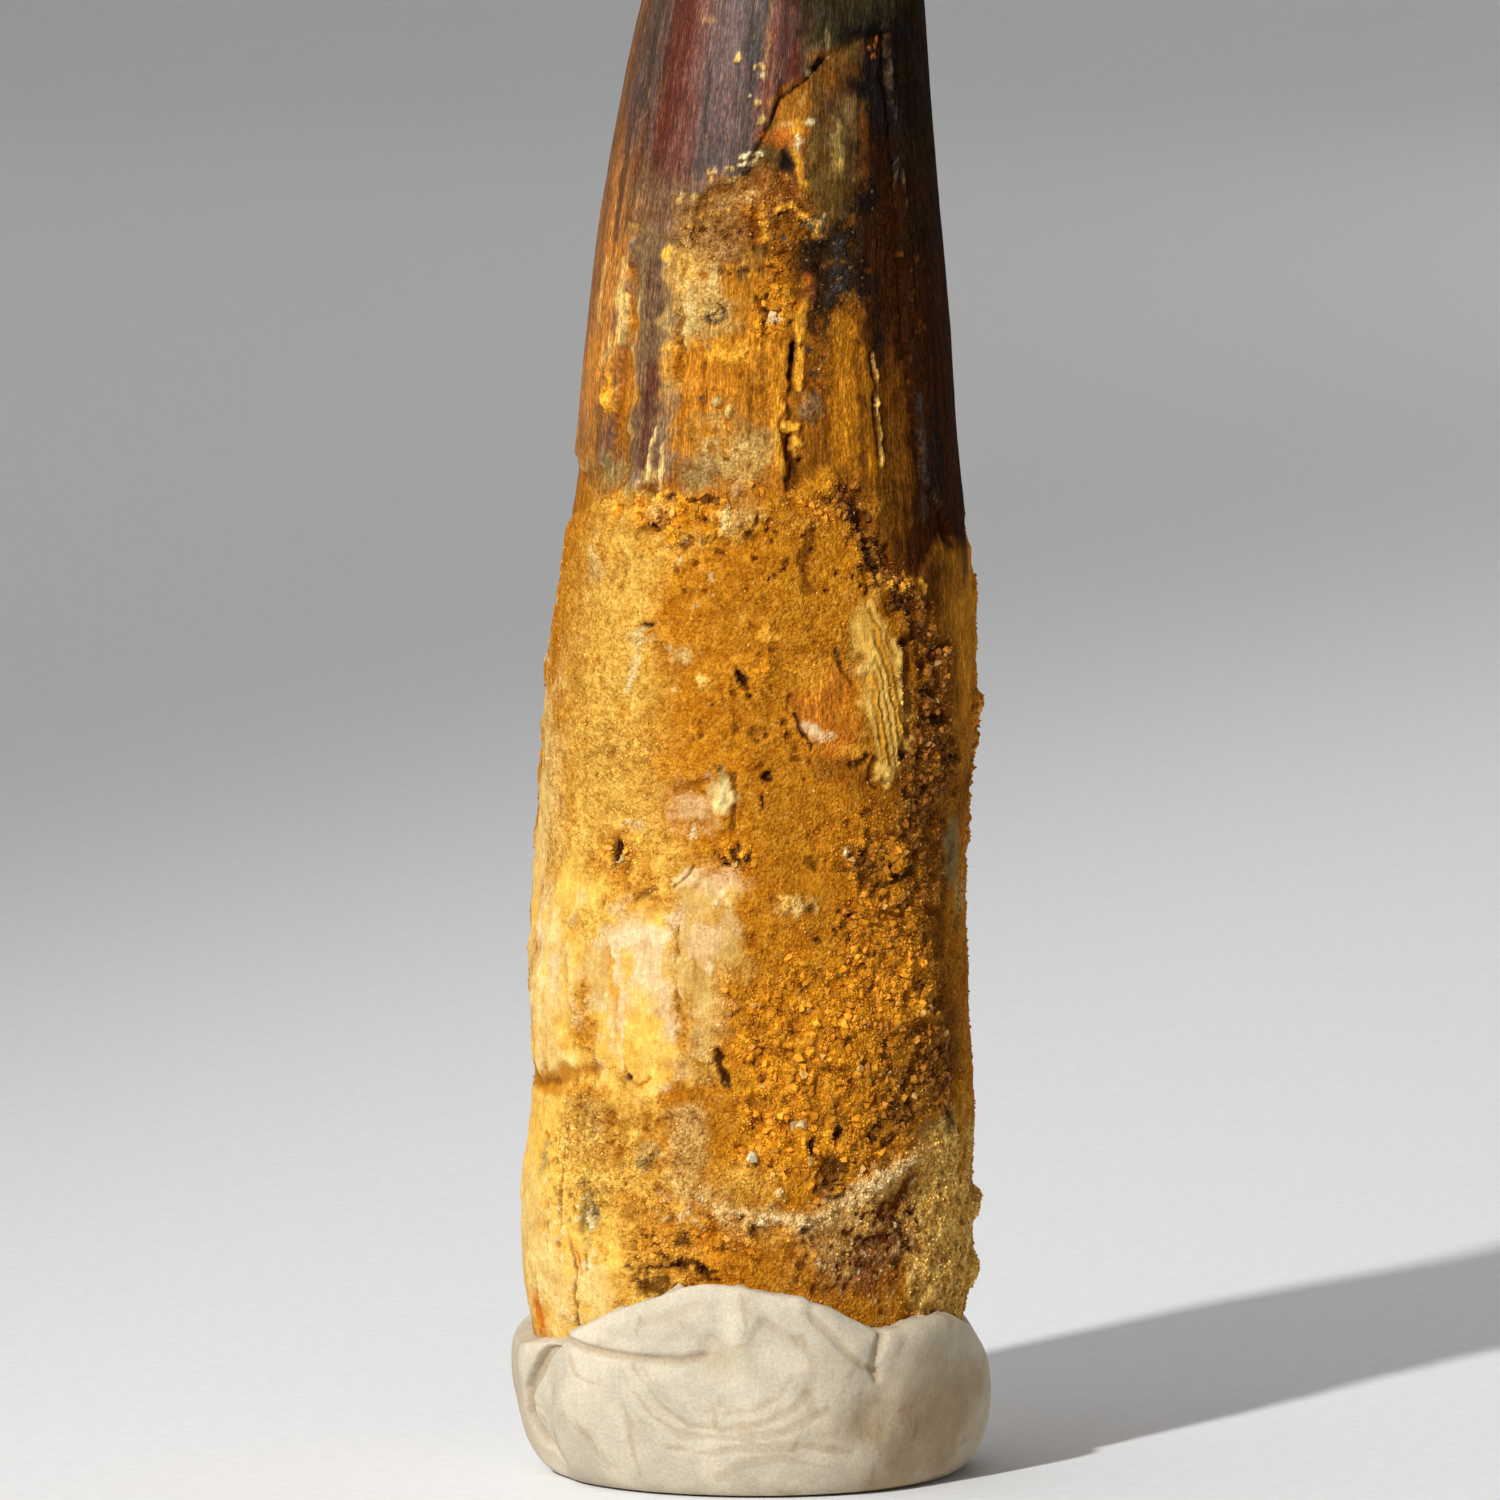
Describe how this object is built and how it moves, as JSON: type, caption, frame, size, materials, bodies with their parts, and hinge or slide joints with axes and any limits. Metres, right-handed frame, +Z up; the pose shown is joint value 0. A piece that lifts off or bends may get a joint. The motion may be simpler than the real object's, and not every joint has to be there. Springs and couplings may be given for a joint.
{
  "type": "fossil reptile tooth in putty",
  "caption": "Long, slightly leaning fossil reptile tooth with a dark enamel crown and a sand-crusted root, standing upright in a kneaded lump of pale putty.",
  "frame": {"origin": "centre of the putty's flat foot, on the surface it stands on", "axes": "+Z up along the tooth, +X to the right and -Y out of the side where the crust and bare bone show best"},
  "size_m": [0.022, 0.0214, 0.095],
  "materials": {
    "tooth": "matte",
    "putty": "matte"
  },
  "bodies": {
    "root": {"tooth": "tooth", "putty": "putty"}
  },
  "joints": []
}
